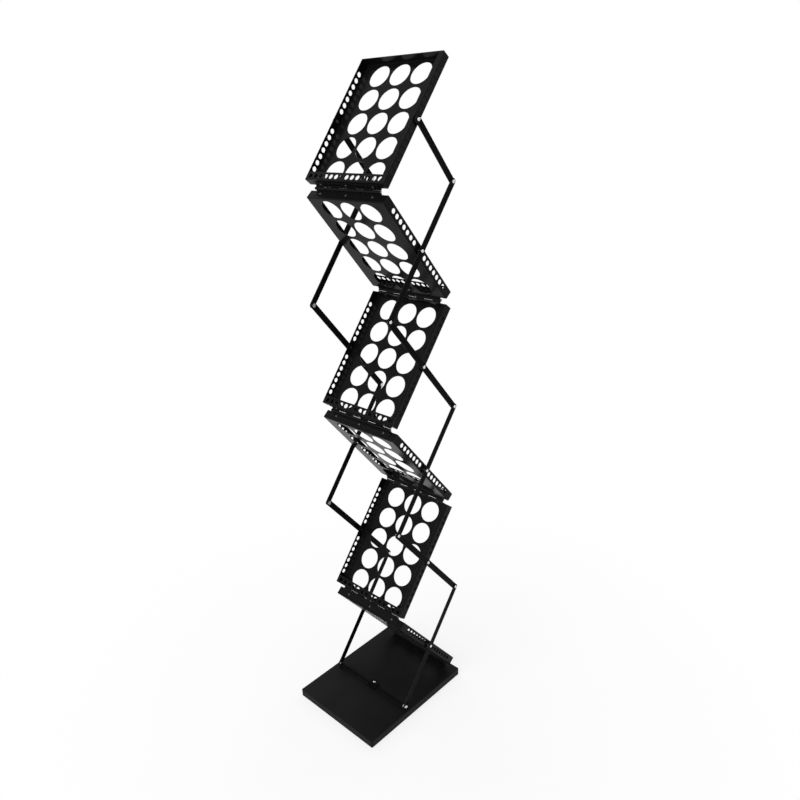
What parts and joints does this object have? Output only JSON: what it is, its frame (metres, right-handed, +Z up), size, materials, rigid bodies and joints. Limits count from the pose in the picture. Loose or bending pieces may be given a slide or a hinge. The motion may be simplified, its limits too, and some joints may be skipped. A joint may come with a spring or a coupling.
{
  "type": "folding literature rack",
  "caption": "Folding zigzag literature rack: perforated steel trays hinged end to end, carried by crossed link bars that collapse flat onto a board base.",
  "frame": {"origin": "middle of the base board's underside, on the floor", "axes": "+Z up, -Y to the front, where the uppermost tray's open side faces, +X to the right seen from the front"},
  "size_m": [0.269, 0.357, 1.5877],
  "materials": {
    "black_tray": "satin",
    "black_bar": "satin",
    "black_hinge": "satin",
    "bright_steel": "polished",
    "dark_rivet": "satin",
    "pin_steel": "satin",
    "base_black": "painted, satin"
  },
  "bodies": {
    "base": {"base_board": "base_black", "base_catch": "black_hinge", "catch_screw": "bright_steel", "leaf_base": "black_hinge", "leaf_screws": "bright_steel"},
    "tray_6_body": {"tray_6": "black_tray", "leaf_rivets_6": "dark_rivet", "pivot_rivets_6": "bright_steel", "leaf_low_6": "black_hinge", "hinge_pin_6": "pin_steel", "leaf_top_6": "black_hinge"},
    "links_6_body": {"link_left_6": "black_bar", "link_right_6": "black_bar", "joint_screws_6": "bright_steel", "cross_rod": "black_bar", "rod_nuts": "bright_steel"},
    "tray_5_body": {"tray_5": "black_tray", "leaf_rivets_5": "dark_rivet", "pivot_rivets_5": "bright_steel", "leaf_low_5": "black_hinge", "hinge_pin_5": "pin_steel", "leaf_top_5": "black_hinge"},
    "links_5_body": {"link_left_5": "black_bar", "link_right_5": "black_bar", "joint_nuts_5": "bright_steel"},
    "tray_4_body": {"tray_4": "black_tray", "leaf_rivets_4": "dark_rivet", "pivot_rivets_4": "bright_steel", "leaf_low_4": "black_hinge", "hinge_pin_4": "pin_steel", "leaf_top_4": "black_hinge"},
    "links_4_body": {"link_left_4": "black_bar", "link_right_4": "black_bar", "joint_screws_4": "bright_steel"},
    "tray_3_body": {"tray_3": "black_tray", "leaf_rivets_3": "dark_rivet", "pivot_rivets_3": "bright_steel", "leaf_low_3": "black_hinge", "hinge_pin_3": "pin_steel", "leaf_top_3": "black_hinge"},
    "links_3_body": {"link_left_3": "black_bar", "link_right_3": "black_bar", "joint_nuts_3": "bright_steel"},
    "tray_2_body": {"tray_2": "black_tray", "leaf_rivets_2": "dark_rivet", "pivot_rivets_2": "bright_steel", "leaf_low_2": "black_hinge", "hinge_pin_2": "pin_steel", "leaf_top_2": "black_hinge"},
    "links_2_body": {"link_left_2": "black_bar", "link_right_2": "black_bar", "joint_screws_2": "bright_steel"},
    "tray_1_body": {"tray_1": "black_tray", "leaf_rivets_1": "dark_rivet", "pivot_rivets_1": "bright_steel", "leaf_low_1": "black_hinge", "hinge_pin_1": "pin_steel"},
    "links_1_body": {"link_left_1": "black_bar", "link_right_1": "black_bar", "joint_nuts_1": "bright_steel"}
  },
  "joints": [
    {"name": "fold", "type": "hinge", "parent": "base", "child": "tray_6_body", "pos_m": [0, 0.16125, 0.0274], "axis": [1, 0, 0], "range_deg": [0, 50.75]},
    {"name": "links_6_pivot", "type": "hinge", "parent": "tray_6_body", "child": "links_6_body", "pos_m": [0, 0.06946, 0.15792], "axis": [1, 0, 0], "range_deg": [-97.81, 0]},
    {"name": "tray_5_hinge", "type": "hinge", "parent": "tray_6_body", "child": "tray_5_body", "pos_m": [0, -0.02233, 0.28844], "axis": [1, 0, 0], "range_deg": [-101.5, 0]},
    {"name": "links_5_pivot", "type": "hinge", "parent": "tray_5_body", "child": "links_5_body", "pos_m": [0, 0.06946, 0.41896], "axis": [1, 0, 0], "range_deg": [0, 97.81]},
    {"name": "tray_4_hinge", "type": "hinge", "parent": "tray_5_body", "child": "tray_4_body", "pos_m": [0, 0.16125, 0.54948], "axis": [1, 0, 0], "range_deg": [0, 101.5]},
    {"name": "links_4_pivot", "type": "hinge", "parent": "tray_4_body", "child": "links_4_body", "pos_m": [0, 0.06946, 0.68], "axis": [1, 0, 0], "range_deg": [-97.81, 0]},
    {"name": "tray_3_hinge", "type": "hinge", "parent": "tray_4_body", "child": "tray_3_body", "pos_m": [0, -0.02233, 0.81052], "axis": [1, 0, 0], "range_deg": [-101.5, 0]},
    {"name": "links_3_pivot", "type": "hinge", "parent": "tray_3_body", "child": "links_3_body", "pos_m": [0, 0.06946, 0.94105], "axis": [1, 0, 0], "range_deg": [0, 97.81]},
    {"name": "tray_2_hinge", "type": "hinge", "parent": "tray_3_body", "child": "tray_2_body", "pos_m": [0, 0.16125, 1.07157], "axis": [1, 0, 0], "range_deg": [0, 101.5]},
    {"name": "links_2_pivot", "type": "hinge", "parent": "tray_2_body", "child": "links_2_body", "pos_m": [0, 0.06946, 1.20209], "axis": [1, 0, 0], "range_deg": [-97.81, 0]},
    {"name": "tray_1_hinge", "type": "hinge", "parent": "tray_2_body", "child": "tray_1_body", "pos_m": [0, -0.02233, 1.33261], "axis": [1, 0, 0], "range_deg": [-101.5, 0]},
    {"name": "links_1_pivot", "type": "hinge", "parent": "tray_1_body", "child": "links_1_body", "pos_m": [0, 0.06946, 1.46313], "axis": [1, 0, 0], "range_deg": [0, 97.81]}
  ],
  "couplings": [
    {"joint": "links_6_pivot", "follows": "fold", "ratio": -1.9272},
    {"joint": "tray_5_hinge", "follows": "fold", "ratio": -2},
    {"joint": "links_5_pivot", "follows": "fold", "ratio": 1.9272},
    {"joint": "tray_4_hinge", "follows": "fold", "ratio": 2},
    {"joint": "links_4_pivot", "follows": "fold", "ratio": -1.9272},
    {"joint": "tray_3_hinge", "follows": "fold", "ratio": -2},
    {"joint": "links_3_pivot", "follows": "fold", "ratio": 1.9272},
    {"joint": "tray_2_hinge", "follows": "fold", "ratio": 2},
    {"joint": "links_2_pivot", "follows": "fold", "ratio": -1.9272},
    {"joint": "tray_1_hinge", "follows": "fold", "ratio": -2},
    {"joint": "links_1_pivot", "follows": "fold", "ratio": 1.9272}
  ]
}
